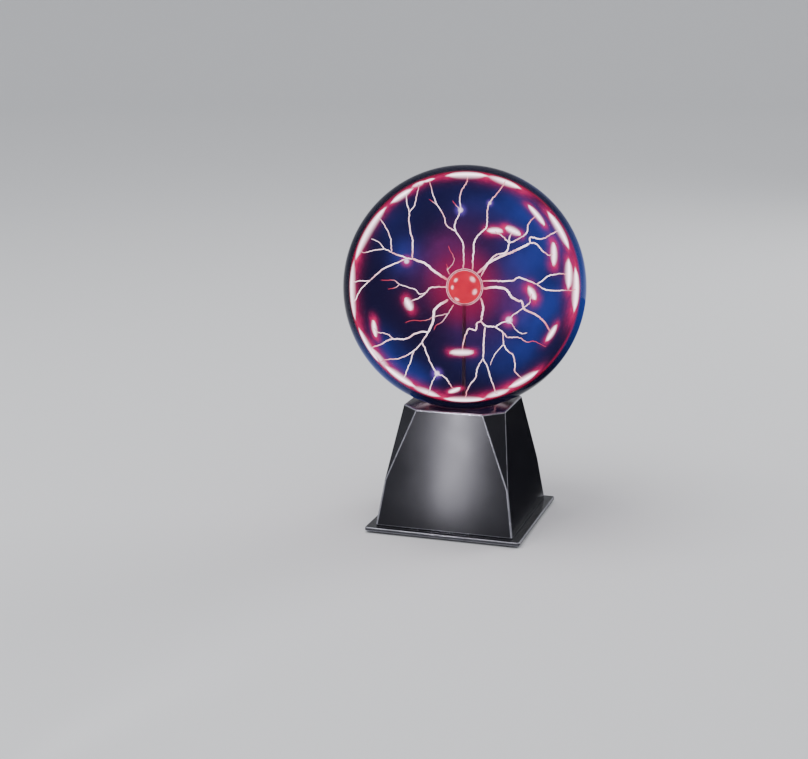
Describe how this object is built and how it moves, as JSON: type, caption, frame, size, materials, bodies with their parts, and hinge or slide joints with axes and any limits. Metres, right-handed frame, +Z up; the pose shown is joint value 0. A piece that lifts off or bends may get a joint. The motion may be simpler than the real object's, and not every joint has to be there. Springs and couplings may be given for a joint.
{
  "type": "plasma ball",
  "caption": "Glass plasma globe with a central electrode on a tapered faceted base with a square plinth, a power inlet and a slide switch at the rear.",
  "frame": {"origin": "centre of the surface the feet stand on, on the globe's vertical axis", "axes": "+Z up through the centre of the globe; the front of the base faces -Y and its rear panel, with the switch and power inlet, faces +Y"},
  "size_m": [0.165, 0.165, 0.246],
  "materials": {
    "globe_glass": "clear blown glass",
    "stem_glass": "clear drawn glass",
    "electrode": "conductive coating, glowing red-orange",
    "housing_plastic": "gloss black, moulded",
    "inner_plastic": "matt black, moulded",
    "jack_plastic": "satin black, moulded",
    "soft_rubber": "matt black",
    "foot_rubber": "matt black",
    "screw_steel": "zinc plated",
    "contact_nickel": "nickel plated",
    "board": "green solder mask",
    "ferrite": "sintered ferrite, matt dark grey",
    "bobbin": "natural nylon",
    "copper": "enamelled copper wire",
    "coil_resin": "cast resin",
    "aluminium": "extruded, plain",
    "chip_plastic": "moulded epoxy",
    "capacitor_sleeve": "shrink sleeve",
    "film_resin": "dipped resin",
    "resistor_coat": "lacquered",
    "phenolic": "phenolic paper board",
    "red_insulation": "flexible, satin red",
    "black_insulation": "flexible, matt black",
    "white_insulation": "flexible, satin white"
  },
  "bodies": {
    "body": {"globe_glass": "globe_glass", "stem_glass": "stem_glass", "electrode_core": "electrode", "seat_gasket": "soft_rubber", "globe_collar": "inner_plastic", "collar_screw_1": "screw_steel", "collar_screw_2": "screw_steel", "collar_screw_3": "screw_steel", "collar_screw_4": "screw_steel", "base_housing": "housing_plastic", "base_plate": "housing_plastic", "foot_1": "foot_rubber", "base_screw_1": "screw_steel", "foot_2": "foot_rubber", "base_screw_2": "screw_steel", "foot_3": "foot_rubber", "base_screw_3": "screw_steel", "foot_4": "foot_rubber", "base_screw_4": "screw_steel", "dc_jack_body": "jack_plastic", "dc_jack_pin": "contact_nickel", "dc_jack_nut": "contact_nickel", "dc_jack_lug": "contact_nickel", "microphone": "aluminium", "microphone_sleeve": "soft_rubber", "switch_frame": "screw_steel", "switch_base": "phenolic", "switch_terminal_1": "contact_nickel", "switch_terminal_2": "contact_nickel", "switch_terminal_3": "contact_nickel", "switch_screw_1": "screw_steel", "switch_screw_2": "screw_steel", "driver_board": "board", "core_lower": "ferrite", "core_upper": "ferrite", "primary_bobbin": "bobbin", "primary_winding": "copper", "high_voltage_coil": "coil_resin", "heat_sink": "aluminium", "power_transistor": "chip_plastic", "transistor_screw": "screw_steel", "supply_capacitor": "capacitor_sleeve", "filter_capacitor": "capacitor_sleeve", "film_capacitor": "film_resin", "timer_chip": "chip_plastic", "resistor_1": "resistor_coat", "resistor_2": "resistor_coat", "board_screw_1": "screw_steel", "board_screw_2": "screw_steel", "board_screw_3": "screw_steel", "board_screw_4": "screw_steel", "high_voltage_lead": "black_insulation", "supply_wire_positive": "red_insulation", "supply_wire_negative": "black_insulation", "switch_wire_1": "white_insulation", "switch_wire_2": "white_insulation", "microphone_wire_1": "white_insulation", "microphone_wire_2": "white_insulation"},
    "switch_slider": {"switch_lever": "inner_plastic", "switch_contact": "copper"}
  },
  "joints": [
    {"name": "mode_switch", "type": "slide", "parent": "body", "child": "switch_slider", "axis": [1, 0, 0], "range_m": [0, 0.004]}
  ]
}
